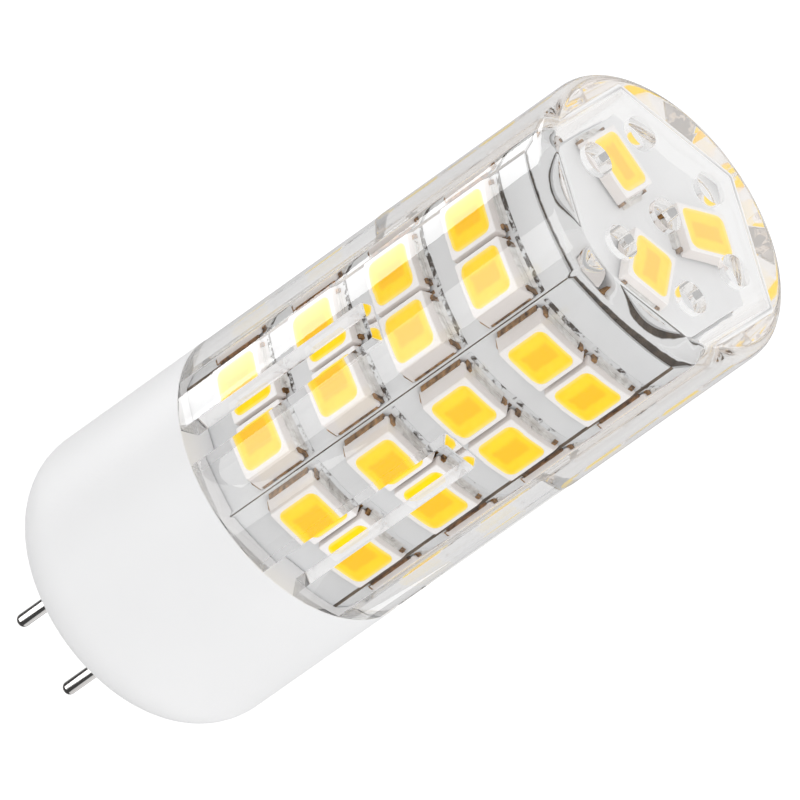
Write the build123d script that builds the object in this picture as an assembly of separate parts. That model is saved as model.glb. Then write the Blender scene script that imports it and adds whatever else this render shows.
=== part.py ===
# LED capsule bulb with two pins: a white cup-shaped base, a six-sided tower of LED boards that stands in it,
# and a clear moulded cover over the tower. The pins point down and the cap is at the top.
# The origin is the middle of the base's underside, halfway between the pins. Units are millimetres.
# The corners of every hexagon lie at 30, 90, 150 ... degrees, so its flats face 0, 60, 120 ... degrees.

import math
import os

from build123d import *

# Outside sizes
BODY_RADIUS = 8.0
BASE_HEIGHT = 12.8
COVER_HEIGHT = 25.9
FOOT_ROUND = 3.2
FACES = 6
FACE_ANGLES = [360 / FACES * index for index in range(FACES)]

# Clear cover
CAP_THICKNESS = 0.8
CAP_EDGE_ROUND = 0.7
CAP_EDGE_STEPS = 3
COVER_BORE_APOTHEM = 6.66
COVER_CEILING_ROUND = 0.6
SLOT_WIDTH = 2.0
SLOT_HEIGHT = 12.8
SLOT_CUT_DEPTH = 4.0
VENT_DIAMETER = 1.8
VENT_RING_RADIUS = 4.65

# Contact pins
PIN_DIAMETER = 0.7
PIN_SPACING = 4.0
PIN_LENGTH = 5.4
PIN_TIP_ROUND = 0.31
PIN_SHANK_WIDTH = 0.8

# Tower of boards
BOARD_THICKNESS = 0.8
SIDE_BOARD_APOTHEM = 5.72
TOP_BOARD_INSET = 0.15
LED_CLEARANCE_UNDER_CAP = 0.15
TAB_WIDTH = 2.2
TAB_CLEARANCE = 0.05

# LED package, laid flat with its long side along Y and its light upwards. The ones on the side boards are shorter.
LED_WIDTH = 2.8
TOP_LED_LENGTH = 3.5
SIDE_LED_LENGTH = 3.1
LED_HEIGHT = 0.8
LED_DRAFT = 4.0
WINDOW_WIDTH = 2.3
WINDOW_END_RIM = 0.28
WINDOW_CORNER = 0.35
CUP_DEPTH = 0.4
CUP_NARROWING = 0.12
FILL_RECESS = 0.03
LEAD_WIDTH = 1.9
LEAD_FOOT = 0.7
LEAD_REACH = 0.15
LEAD_THICKNESS = 0.15

# Places of the LEDs
LED_PAIR_PITCH = 2.95
LED_PAIR_SHIFT = 0.3
LED_ROWS = 4
LED_ROW_PITCH = 5.3
FIRST_ROW_BELOW_CAP = 6.35
TOP_LED_RADIUS = 3.4
TOP_LED_ANGLES = [180, 60, -60]

# Inside of the base
FLOOR_THICKNESS = 1.6
CAVITY_RADIUS = 5.0
SOCKET_DEPTH = 4.2
SOCKET_CLEARANCE = 0.08
DRIVER_BOARD_RADIUS = 4.7
DRIVER_BOARD_Z = 4.4
LINK_PIN_WIDTH = 0.5
LINK_PIN_OFFSET = 3.8

# Parts on the driver board, each size as length along X, width along Y and height
DIODE_SIZE = (2.7, 1.6, 1.1)
DIODE_OFFSET_X = 1.6
DIODE_OFFSET_Y = 1.75
RESISTOR_SIZE = (2.0, 1.25, 0.5)
RESISTOR_OFFSET_Y = 3.6
CAPACITOR_SIZE = (3.5, 2.8, 1.9)
CAPACITOR_OFFSET_Y = -2.4
CHIP_SIZE = (3.0, 2.2, 1.0)
CHIP_OFFSET_Y = 2.3
CHIP_LIFT = 0.1
MOULDED_EDGE = 0.15
LEG_PITCH = 1.0
LEG_WIDTH = 0.4
LEG_THICKNESS = 0.15
LEG_SHOULDER = 0.35
LEG_REACH = 0.7
LEG_RISE = 0.45

# Heights that follow from the sizes above
TOTAL_HEIGHT = BASE_HEIGHT + COVER_HEIGHT
CEILING_Z = TOTAL_HEIGHT - CAP_THICKNESS
TOP_BOARD_TOP_Z = CEILING_Z - LED_CLEARANCE_UNDER_CAP - LED_HEIGHT
TOP_BOARD_Z = TOP_BOARD_TOP_Z - BOARD_THICKNESS
LEDGE_Z = BASE_HEIGHT - SOCKET_DEPTH
LOWER_BOARD_TOP_Z = LEDGE_Z + BOARD_THICKNESS
SIDE_BOARD_HEIGHT = TOP_BOARD_Z - LOWER_BOARD_TOP_Z


def hexagonal_prism(apothem, bottom, height):
    """Upright six-sided prism with flats at the given distance from the axis."""
    outline = RegularPolygon(apothem, FACES, major_radius=False, rotation=30)
    return Pos(0, 0, bottom) * extrude(outline, height)


def upright_cylinder(radius, bottom, height, x=0.0, y=0.0):
    """Cylinder that stands on the given height."""
    return Pos(x, y, bottom) * Cylinder(radius, height, align=(Align.CENTER, Align.CENTER, Align.MIN))


def block(width, depth, height, x, y, bottom):
    """Box that stands on the given height, centred on x and y."""
    return Pos(x, y, bottom) * Box(width, depth, height, align=(Align.CENTER, Align.CENTER, Align.MIN))


def top_edges(solid):
    """Edges that lie in the highest face."""
    return solid.faces().sort_by(Axis.Z)[-1].edges()


def bottom_edges(solid):
    """Edges that lie in the lowest face."""
    return solid.faces().sort_by(Axis.Z)[0].edges()


def base_shell():
    """White cup: rounded foot, round cavity for the driver, six-sided socket for the tower, two pin holes."""
    body = upright_cylinder(BODY_RADIUS, 0, BASE_HEIGHT)
    body = fillet(bottom_edges(body), FOOT_ROUND)
    body -= upright_cylinder(CAVITY_RADIUS, FLOOR_THICKNESS, LEDGE_Z - FLOOR_THICKNESS)
    body -= hexagonal_prism(SIDE_BOARD_APOTHEM + SOCKET_CLEARANCE, LEDGE_Z, SOCKET_DEPTH)
    for side in (-1, 1):
        body -= pin_shank(side, 0, FLOOR_THICKNESS)
    return body


def pin_shank(side, bottom, height):
    """Square upper part of a contact pin, which can't turn in the base."""
    return block(PIN_SHANK_WIDTH, PIN_SHANK_WIDTH, height, side * PIN_SPACING / 2, 0, bottom)


def contact_pin(side):
    """Round contact with a round tip below the base, and a square shank up through the driver board."""
    contact = upright_cylinder(PIN_DIAMETER / 2, -PIN_LENGTH, PIN_LENGTH, x=side * PIN_SPACING / 2)
    contact = fillet(bottom_edges(contact), PIN_TIP_ROUND)
    return contact + pin_shank(side, 0, DRIVER_BOARD_Z + BOARD_THICKNESS)


def cover_outside():
    """Round outside of the cover. Its rounded top edge is a few narrow bands, which keeps the mesh light."""
    edge = []
    for step in range(CAP_EDGE_STEPS + 1):
        turn = math.radians(90 * step / CAP_EDGE_STEPS)
        across = BODY_RADIUS - CAP_EDGE_ROUND * (1 - math.cos(turn))
        edge.append((across, TOTAL_HEIGHT - CAP_EDGE_ROUND * (1 - math.sin(turn))))
    outline = Polyline((0, BASE_HEIGHT), (BODY_RADIUS, BASE_HEIGHT), *edge, (0, TOTAL_HEIGHT), close=True)
    return revolve(Plane.XZ * make_face(outline), Axis.Z)


def clear_cover():
    """Clear moulding: round outside, six-sided bore, flat cap with vent holes, slots up from the lower edge."""
    body = cover_outside()
    bore = hexagonal_prism(COVER_BORE_APOTHEM, BASE_HEIGHT, COVER_HEIGHT - CAP_THICKNESS)
    body -= fillet(top_edges(bore), COVER_CEILING_ROUND)
    for angle in FACE_ANGLES:
        body -= Rot(0, 0, angle) * block(SLOT_CUT_DEPTH, SLOT_WIDTH, SLOT_HEIGHT, BODY_RADIUS, 0, BASE_HEIGHT)
    vent = upright_cylinder(VENT_DIAMETER / 2, CEILING_Z, CAP_THICKNESS)
    body -= vent
    for angle in FACE_ANGLES:
        body -= Rot(0, 0, angle + 30) * Pos(VENT_RING_RADIUS, 0, 0) * vent
    return body


def side_board():
    """One face of the tower, facing +X: mitred long edges, and a tab at the foot for the lower board's slot."""
    outer_half = SIDE_BOARD_APOTHEM * math.tan(math.radians(30))
    inner_apothem = SIDE_BOARD_APOTHEM - BOARD_THICKNESS
    inner_half = inner_apothem * math.tan(math.radians(30))
    section = make_face(
        Polyline(
            (SIDE_BOARD_APOTHEM, -outer_half),
            (SIDE_BOARD_APOTHEM, outer_half),
            (inner_apothem, inner_half),
            (inner_apothem, -inner_half),
            close=True,
        )
    )
    board = Pos(0, 0, LOWER_BOARD_TOP_Z) * extrude(section, SIDE_BOARD_HEIGHT)
    return board + foot_tab(TAB_WIDTH, 0)


def foot_tab(width, clearance):
    """Block at the foot of the side board that faces +X, as thick as the board plus a clearance on its inside."""
    depth = BOARD_THICKNESS + clearance
    middle = SIDE_BOARD_APOTHEM - BOARD_THICKNESS / 2 - clearance / 2
    return block(depth, width, BOARD_THICKNESS, middle, 0, LEDGE_Z)


def top_board():
    """Six-sided board that caps the tower."""
    apothem = SIDE_BOARD_APOTHEM - TOP_BOARD_INSET
    return hexagonal_prism(apothem, TOP_BOARD_Z, BOARD_THICKNESS)


def lower_board():
    """Six-sided board on the base's ledge, notched for the side boards' tabs."""
    board = hexagonal_prism(SIDE_BOARD_APOTHEM, LEDGE_Z, BOARD_THICKNESS)
    for angle in FACE_ANGLES:
        board -= Rot(0, 0, angle) * foot_tab(TAB_WIDTH + 2 * TAB_CLEARANCE, TAB_CLEARANCE)
    return board


def led_cup(length):
    """Space inside the rim of a package: a rectangle with cut corners that narrows downwards."""
    window_length = length - 2 * WINDOW_END_RIM
    mouth = cut_rectangle(WINDOW_WIDTH, window_length, WINDOW_CORNER)
    floor_width = WINDOW_WIDTH - 2 * CUP_NARROWING
    floor_length = window_length - 2 * CUP_NARROWING
    floor = cut_rectangle(floor_width, floor_length, WINDOW_CORNER - CUP_NARROWING)
    return loft([Pos(0, 0, LED_HEIGHT - CUP_DEPTH) * floor, Pos(0, 0, LED_HEIGHT) * mouth])


def cut_rectangle(width, length, corner):
    """Rectangle with its corners cut off."""
    outline = Rectangle(width, length)
    return chamfer(outline.vertices(), corner)


def led_body(length):
    """White package on its leads, with the cup for the phosphor in its upper face."""
    outline = Rectangle(LED_WIDTH, length)
    body = Pos(0, 0, LEAD_THICKNESS) * extrude(outline, LED_HEIGHT - LEAD_THICKNESS, taper=LED_DRAFT)
    return body - led_cup(length)


def led_phosphor(length):
    """Yellow fill of the cup, just under the rim."""
    return led_cup(length) & block(LED_WIDTH, length, LED_HEIGHT - FILL_RECESS, 0, 0, 0)


def led_leads(length):
    """Two tinned copper leads under the package, which stand out a little past its ends."""
    lead = LEAD_FOOT + LEAD_REACH
    middle = length / 2 + LEAD_REACH - lead / 2
    return [block(LEAD_WIDTH, lead, LEAD_THICKNESS, 0, side * middle, 0) for side in (-1, 1)]


def side_led_places(face_angle, shift):
    """Where the LEDs of one side board go: a package's +Z turns to face outwards and its +Y to face up."""
    places = []
    for row in range(LED_ROWS):
        height = TOTAL_HEIGHT - FIRST_ROW_BELOW_CAP - row * LED_ROW_PITCH
        for side in (-1, 1):
            spot = Pos(SIDE_BOARD_APOTHEM, shift + side * LED_PAIR_PITCH / 2, height)
            places.append(Rot(0, 0, face_angle) * spot * Rot(90, 0, 0) * Rot(0, 90, 0))
    return places


def top_led_places():
    """Where the three LEDs of the top board go, each with its long side along a radius."""
    return [
        Rot(0, 0, angle) * Pos(TOP_LED_RADIUS, 0, TOP_BOARD_TOP_Z) * Rot(0, 0, 90)
        for angle in TOP_LED_ANGLES
    ]


def placed(pieces, places):
    """All the pieces at all the places, as one group of separate solids."""
    return Compound(children=[place * piece for place in places for piece in pieces])


def driver_board():
    """Round board that the shanks of the contact pins go through."""
    board = upright_cylinder(DRIVER_BOARD_RADIUS, DRIVER_BOARD_Z, BOARD_THICKNESS)
    for side in (-1, 1):
        board -= pin_shank(side, DRIVER_BOARD_Z, BOARD_THICKNESS)
    return board


def link_pin(side):
    """Square pin that carries the current up from the driver board to the lower board."""
    bottom = DRIVER_BOARD_Z + BOARD_THICKNESS
    return block(LINK_PIN_WIDTH, LINK_PIN_WIDTH, LEDGE_Z - bottom, side * LINK_PIN_OFFSET, 0, bottom)


def rectifier_diodes():
    """Four diodes under the driver board, two on each side of the pins."""
    bottom = DRIVER_BOARD_Z - DIODE_SIZE[2]
    spots = [(x * DIODE_OFFSET_X, y * DIODE_OFFSET_Y) for x in (-1, 1) for y in (-1, 1)]
    return Compound(children=[block(*DIODE_SIZE, x, y, bottom) for x, y in spots])


def sense_resistors():
    """Two flat chip resistors under the driver board."""
    bottom = DRIVER_BOARD_Z - RESISTOR_SIZE[2]
    spots = [-RESISTOR_OFFSET_Y, RESISTOR_OFFSET_Y]
    return Compound(children=[block(*RESISTOR_SIZE, 0, y, bottom) for y in spots])


def smoothing_capacitor():
    """Chip capacitor on top of the driver board."""
    part = block(*CAPACITOR_SIZE, 0, CAPACITOR_OFFSET_Y, DRIVER_BOARD_Z + BOARD_THICKNESS)
    return chamfer(top_edges(part), MOULDED_EDGE)


def driver_chip():
    """Body of the current regulator, just clear of the driver board."""
    part = block(*CHIP_SIZE, 0, CHIP_OFFSET_Y, DRIVER_BOARD_Z + BOARD_THICKNESS + CHIP_LIFT)
    return chamfer(top_edges(part), MOULDED_EDGE)


def driver_chip_legs():
    """Bent legs of the regulator, three on each long side, from the body out and down to the board."""
    body_side = CHIP_SIZE[1] / 2
    section = make_face(
        Polyline(
            (body_side, LEG_RISE),
            (body_side + LEG_SHOULDER, LEG_RISE),
            (body_side + LEG_SHOULDER, LEG_THICKNESS),
            (body_side + LEG_REACH, LEG_THICKNESS),
            (body_side + LEG_REACH, 0),
            (body_side + LEG_SHOULDER - LEG_THICKNESS, 0),
            (body_side + LEG_SHOULDER - LEG_THICKNESS, LEG_RISE - LEG_THICKNESS),
            (body_side, LEG_RISE - LEG_THICKNESS),
            close=True,
        )
    )
    leg = extrude(Plane.YZ * section, LEG_WIDTH / 2, both=True)
    row = [Pos(step * LEG_PITCH, 0, 0) * leg for step in (-1, 0, 1)]
    both_rows = row + [Rot(0, 0, 180) * piece for piece in row]
    spot = Pos(0, CHIP_OFFSET_Y, DRIVER_BOARD_Z + BOARD_THICKNESS)
    return Compound(children=[spot * piece for piece in both_rows])


def all_nodes():
    """Every named piece of the bulb."""
    nodes = {
        "base_shell": base_shell(),
        "contact_pin_left": contact_pin(-1),
        "contact_pin_right": contact_pin(1),
        "clear_cover": clear_cover(),
        "top_board": top_board(),
        "lower_board": lower_board(),
        "top_led_bodies": placed([led_body(TOP_LED_LENGTH)], top_led_places()),
        "top_led_phosphor": placed([led_phosphor(TOP_LED_LENGTH)], top_led_places()),
        "top_led_leads": placed(led_leads(TOP_LED_LENGTH), top_led_places()),
        "driver_board": driver_board(),
        "rectifier_diodes": rectifier_diodes(),
        "sense_resistors": sense_resistors(),
        "smoothing_capacitor": smoothing_capacitor(),
        "driver_chip": driver_chip(),
        "driver_chip_legs": driver_chip_legs(),
        "link_pin_left": link_pin(-1),
        "link_pin_right": link_pin(1),
    }
    for number, angle in enumerate(FACE_ANGLES, start=1):
        # Neighbouring boards mirror each other, so the pairs come nearer to every second corner of the tower.
        shift = LED_PAIR_SHIFT if number % 2 == 0 else -LED_PAIR_SHIFT
        places = side_led_places(angle, shift)
        nodes[f"side_board_{number}"] = Rot(0, 0, angle) * side_board()
        nodes[f"side_led_bodies_{number}"] = placed([led_body(SIDE_LED_LENGTH)], places)
        nodes[f"side_led_phosphor_{number}"] = placed([led_phosphor(SIDE_LED_LENGTH)], places)
        nodes[f"side_led_leads_{number}"] = placed(led_leads(SIDE_LED_LENGTH), places)
    return nodes


os.makedirs("parts", exist_ok=True)
for name, shape in all_nodes().items():
    export_step(shape, f"parts/{name}.step")
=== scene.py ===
import math

import bmesh
import bpy
from mathutils import Matrix, Vector

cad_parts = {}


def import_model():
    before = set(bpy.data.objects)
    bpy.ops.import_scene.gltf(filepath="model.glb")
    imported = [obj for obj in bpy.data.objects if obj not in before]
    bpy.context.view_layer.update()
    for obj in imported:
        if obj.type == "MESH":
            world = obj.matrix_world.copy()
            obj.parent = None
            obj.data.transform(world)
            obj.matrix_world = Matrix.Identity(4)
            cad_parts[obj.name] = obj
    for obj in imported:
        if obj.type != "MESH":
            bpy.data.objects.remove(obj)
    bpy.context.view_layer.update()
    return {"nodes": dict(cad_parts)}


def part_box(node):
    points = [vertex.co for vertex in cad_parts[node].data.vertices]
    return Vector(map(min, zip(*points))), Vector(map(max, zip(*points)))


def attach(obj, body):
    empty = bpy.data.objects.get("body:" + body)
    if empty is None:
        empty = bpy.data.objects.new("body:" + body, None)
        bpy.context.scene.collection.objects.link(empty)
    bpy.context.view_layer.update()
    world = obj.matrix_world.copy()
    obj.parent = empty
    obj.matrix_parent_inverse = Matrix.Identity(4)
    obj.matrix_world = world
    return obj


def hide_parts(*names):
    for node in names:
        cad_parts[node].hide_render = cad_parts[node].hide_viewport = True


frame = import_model()
nodes = frame["nodes"]

# Lengths are in millimetres, unless a name ends with _M, and MM turns them into the scene's metres.
# Angles are in degrees.
MM = 0.001
FACES = 6
FACE_ANGLES = [360 / FACES * index for index in range(FACES)]
HALF_FACE = math.radians(180 / FACES)
SHARP_ANGLE = 32

# Sizes read from the frame
COVER_LOW, COVER_HIGH = (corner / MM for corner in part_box("clear_cover"))
BASE_TOP = (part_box("base_shell")[1] / MM).z
BODY_RADIUS = COVER_HIGH.x
COVER_BOTTOM = COVER_LOW.z
COVER_TOP = COVER_HIGH.z
SIDE_LOW, SIDE_HIGH = (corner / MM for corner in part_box("side_board_1"))
BOARD_APOTHEM = SIDE_HIGH.x
BOARD_TOP = SIDE_HIGH.z
BOARD_THICKNESS = SIDE_HIGH.x - SIDE_LOW.x
TOP_BOARD_LOW, TOP_BOARD_HIGH = (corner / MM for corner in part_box("top_board"))
PIN_BOTTOM = (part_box("contact_pin_right")[0] / MM).z

# Clear cover
CAP_THICKNESS = 0.8
CAP_EDGE_ROUND = 0.7
BORE_APOTHEM = 6.66
BORE_CORNER = 0.3
CEILING_ROUND = 0.48
SLOT_WIDTH = 2.0
SLOT_HEIGHT = 12.8
SLOT_CORNER = 0.18
VENT_RADIUS = 0.9
VENT_RING = 4.65
VENT_SEGMENTS = 64
COVER_SEGMENTS = 288
EDGE_SOFTENING = 0.06
CUT_MARGIN = 1
SLOT_CUT_INSIDE = 1.2

# Base
FOOT_ROUND = 3.2
SOCKET_APOTHEM = 5.8
SOCKET_FLOOR = 8.6
SOCKET_CORNER = 0.2
BASE_SEGMENTS = 192
BASE_RIM_ROUND = 0.08

# Pins
PIN_RADIUS = 0.35
PIN_TIP_ROUND = 0.31
PIN_OFFSET = 2.0
PIN_SEGMENTS = 48
PIN_INNER_TOP = 1.0

# LED packages, lying flat with the long side along Y and the light upwards
LED_WIDTH = 2.8
TOP_LED_LENGTH = 3.5
SIDE_LED_LENGTH = 3.1
LED_HEIGHT = 0.8
LED_SEAT = 0.15
LED_TOP_INSET = 0.05
LED_CORNER = 0.1
LED_EDGE = 0.05
LED_WALL = 0.15
WINDOW_WIDTH = 2.3
WINDOW_END_RIM = 0.28
WINDOW_CORNER = 0.45
WINDOW_DEPTH = 0.4
FILL_RECESS = 0.03
FILL_DEPTH = 0.35
WINDOW_SHARE = 0.8
ARC_STEPS = 6
LED_PAIR_PITCH = 2.95
LED_PAIR_SHIFT = 0.3
LED_ROWS = 4
LED_ROW_PITCH = 5.3
FIRST_ROW_BELOW_CAP = 6.35
TOP_LED_RADIUS = 3.4
TOP_LED_ANGLES = [180, 60, -60]

# Leads and copper. OVERLAP is how far a piece runs into the one that it meets.
OVERLAP = 0.02
LEAD_WIDTH = 1.9
LEAD_INSIDE = 0.7
LEAD_REACH = 0.15
LEAD_RISE = 0.3
SOLDER_REACH = 0.34
TIE_WIDTH = 0.22
TIE_OFFSET = 1.08
TIE_INSIDE = 0.05
TIE_REACH = 0.14
TIE_ABOVE_LEAD = 0.04
# The track between the two packages of a row is copper and partly painted shade in the gap between them.
TRACK_WIDTH = 0.14
TRACK_HEIGHT = 0.03
TRACK_PAST_PACKAGE = 0.05

# Bare edges of the side boards, and the dark part of the top board's side, partly bare core and partly
# painted shade where the side boards meet it, which gets higher towards +X
BARE_EDGE = 0.13
CROWN_CORNER = 0.15
CROWN_EDGE_BREAK = 0.05
DARK_EDGE_LOW = 0.09
DARK_EDGE_SLOPE = 0.07
DARK_EDGE_RAGGED = 0.16
DARK_EDGE_SHARPNESS = 14.0

# Dark marks round the packages, partly left by soldering and partly painted shade in the gap between lead
# and board.
# They get stronger by so much for each millimetre towards -X and upwards, and at the middle height they are
# as strong as their noise makes them.
FLUX_SHADE_REACH = 0.24
FLUX_SHADE_SIDEWAYS = 0.018
FLUX_SHADE_UPWARDS = 0.006
FLUX_SHADE_MIDDLE = 29.0
FLUX_SHADE_RAGGED = (0.48, 0.58)

# Cut edge of the lead frame, along the package's foot. Its dark strip reaching past the package is also
# painted shade in the gap under the package.
FRAME_SHADE_STRIP_INSIDE = 0.1
FRAME_SHADE_STRIP_HEIGHT = 0.2
FRAME_SHADE_STRIP_REACH = 0.03
FRAME_SHADE_STRIP_SHORTER = 0.2

# Chip that shows through the phosphor, and the fill's paler rim
CHIP_HALF_WIDTH = 0.45
CHIP_HALF_LENGTH = 0.82
CHIP_WOBBLE = 0.35
CHIP_SHARPNESS = 6.0
FILL_RIM = 0.2
FILL_RIM_SHARPNESS = 4.5
FILL_RIM_STRENGTH = 0.6

# Stage
FLOOR_DROP = 35.0
FLOOR_SIZE_M = 6.0
FLOOR_GLOW = 0.3
FLOOR_GLOW_THROUGH_PLASTIC = 0.05
# Strength at the first height, strength at the second, and the two heights as sines of the angle
TENT_LIGHT = (1.8, 0.85, 0.0, 1.0)
# The same from the left to the right
TENT_SIDES = (0.84, 1.12, -0.8, 0.8)
TENT_THROUGH_PLASTIC = (0.98, 0.62, 0.1, 0.5)
HOOD_RADIUS_M = 0.9
HOOD_ABOVE_FLOOR = 0.5
# Where the hood starts and stops getting brighter towards the back, as cosines, and its two levels
HOOD_FRONT_TO_BACK = (0.35, 0.95, 0.06, 0.5)

# Lamps: azimuth from the camera's side, then in metres the distance from the axis, the height, the height
# aimed at, and the lamp's width and length, then its watts and the only rays that it shows to
LAMPS = {
    "key": (50, 0.5, 0.55, 0.02, 0.5, 0.5, 0.12, "diffuse"),
    "strip_left": (-27.0, 0.045, 0.005, 0.005, 0.021, 0.06, 0.011, "glossy"),
    "strip_side": (-91.5, 0.045, 0.005, 0.005, 0.022, 0.06, 0.021, "glossy"),
    "pin_light": (-36, 0.038, -0.029, -0.029, 0.082, 0.02, 0.0113, "glossy"),
    "pin_fill": (100, 0.038, -0.029, -0.029, 0.082, 0.02, 0.0036, "glossy"),
    "cap_light": (180, 0.25, 0.2, 0.038, 0.12, 0.12, 0.06, "glossy"),
}

# Light that runs round inside the clear wall needs many turns before it leaves it.
BOUNCES = 80

# Photograph's view
VIEW_AZIMUTH = 2.1
VIEW_ELEVATION = 32.5
VIEW_DISTANCE_M = 1.3
AXIS_SLOPE = 35.3
VIEW_CENTRE_Z = 20.15
VIEW_CENTRE_LEFT = 0.145
PIXELS_PER_MM = 20.65
PICTURE_PIXELS = 800
SENSOR_MM = 36.0


def turned(angle):
    """Turn about the bulb's axis."""
    return Matrix.Rotation(math.radians(angle), 4, "Z")


def moved(x, y, z):
    """Shift in millimetres."""
    return Matrix.Translation(Vector((x, y, z)))


def add_loop(bm, points, height):
    """Ring of vertices at one height."""
    return [bm.verts.new((x, y, height)) for x, y in points]


def bridge(bm, lower, upper):
    """Quads between two rings of the same length."""
    count = len(lower)
    for i in range(count):
        j = (i + 1) % count
        bm.faces.new((lower[i], lower[j], upper[j], upper[i]))


def close_ends(bm, first, last):
    """Flat faces over the first ring, which faces down, and the last, which faces up."""
    bm.faces.new(list(reversed(first)))
    bm.faces.new(last)


def stacked(bm, rings):
    """Closed solid through rings, each given as (points, height), from the lowest to the highest."""
    made = [add_loop(bm, points, height) for points, height in rings]
    for lower, upper in zip(made, made[1:]):
        bridge(bm, lower, upper)
    close_ends(bm, made[0], made[-1])


def circle(radius, count):
    """Points round the bulb's axis."""
    return [
        (radius * math.cos(2 * math.pi * i / count), radius * math.sin(2 * math.pi * i / count))
        for i in range(count)
    ]


def rounded_polygon(corners, radius, steps, along=1):
    """Closed outline with its corners rounded. along is how many points each straight side gets."""
    count = len(corners)
    points = []
    for i in range(count):
        before, corner, after = (Vector(corners[(i + k) % count]) for k in (-1, 0, 1))
        to_before = (before - corner).normalized()
        to_after = (after - corner).normalized()
        half = math.acos(max(-1, min(1, to_before.dot(to_after)))) / 2
        centre = corner + (to_before + to_after).normalized() * (radius / math.sin(half))
        start = corner + to_before * (radius / math.tan(half)) - centre
        sweep = math.pi - 2 * half
        for step in range(steps + 1):
            angle = sweep * step / steps
            points.append(centre + start @ Matrix.Rotation(-angle, 2))
        next_corner = Vector(corners[(i + 1) % count])
        leave = corner + to_after * (radius / math.tan(half))
        arrive = next_corner - to_after * (radius / math.tan(half))
        for step in range(1, along):
            points.append(leave.lerp(arrive, step / along))
    return [(p.x, p.y) for p in points]


def rounded_rectangle(width, length, radius):
    """Outline of a package's ring, with its middle at the origin."""
    x, y = width / 2, length / 2
    return rounded_polygon([(x, -y), (x, y), (-x, y), (-x, -y)], radius, ARC_STEPS)


def rounded_hexagon(apothem, radius, steps, along):
    """Outline round the bulb's axis, with one flat side towards +X."""
    reach = apothem / math.cos(HALF_FACE)
    turns = [math.radians(angle) for angle in range(30, 390, 60)]
    corners = [(reach * math.cos(turn), reach * math.sin(turn)) for turn in turns]
    return rounded_polygon(corners, radius, steps, along)


def window_length(length):
    """Length of the window in a package of a given length."""
    return length - 2 * WINDOW_END_RIM


def plain_mesh(bm, name):
    """Mesh with what a bmesh holds."""
    mesh = bpy.data.meshes.new(name)
    bm.to_mesh(mesh)
    bm.free()
    return mesh


def mesh_from(bm, name):
    """Mesh in metres from a bmesh in millimetres, with smooth faces and sharp edges kept."""
    bmesh.ops.recalc_face_normals(bm, faces=bm.faces)
    bmesh.ops.scale(bm, vec=(MM, MM, MM), verts=bm.verts)
    mesh = plain_mesh(bm, name)
    mesh.shade_smooth()
    mesh.set_sharp_from_angle(angle=math.radians(SHARP_ANGLE))
    return mesh


def add_object(name, data):
    """Object in the scene that shows a mesh, a lamp or a camera."""
    made = bpy.data.objects.new(name, data)
    bpy.context.scene.collection.objects.link(made)
    return made


def add_piece(name, mesh, materials, slot, *stands_for):
    """Piece that rides on the bulb's one body and stands for the CAD nodes that it shows in more detail."""
    piece = add_object(name, mesh)
    for material in materials:
        mesh.materials.append(material)
    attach(piece, "root")
    if stands_for:
        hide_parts(*stands_for)
    return piece


def cut(target, cutters):
    """Takes the cutters away from a mesh object with the exact solver, and removes them."""
    for cutter in cutters:
        modifier = target.modifiers.new("cut", "BOOLEAN")
        modifier.operation = "DIFFERENCE"
        modifier.solver = "EXACT"
        modifier.object = cutter
    graph = bpy.context.evaluated_depsgraph_get()
    mesh = bpy.data.meshes.new_from_object(target.evaluated_get(graph))
    target.modifiers.clear()
    target.data = mesh
    for cutter in cutters:
        bpy.data.objects.remove(cutter)


def loose_object(name, bm):
    """Object in millimetres that isn't finished yet."""
    bmesh.ops.recalc_face_normals(bm, faces=bm.faces)
    return add_object(name, plain_mesh(bm, name))


def taken_back(piece):
    """What an unfinished object holds, as a bmesh. The object goes."""
    bm = bmesh.new()
    bm.from_mesh(piece.data)
    bpy.data.objects.remove(piece)
    return bm


# Materials


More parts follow.
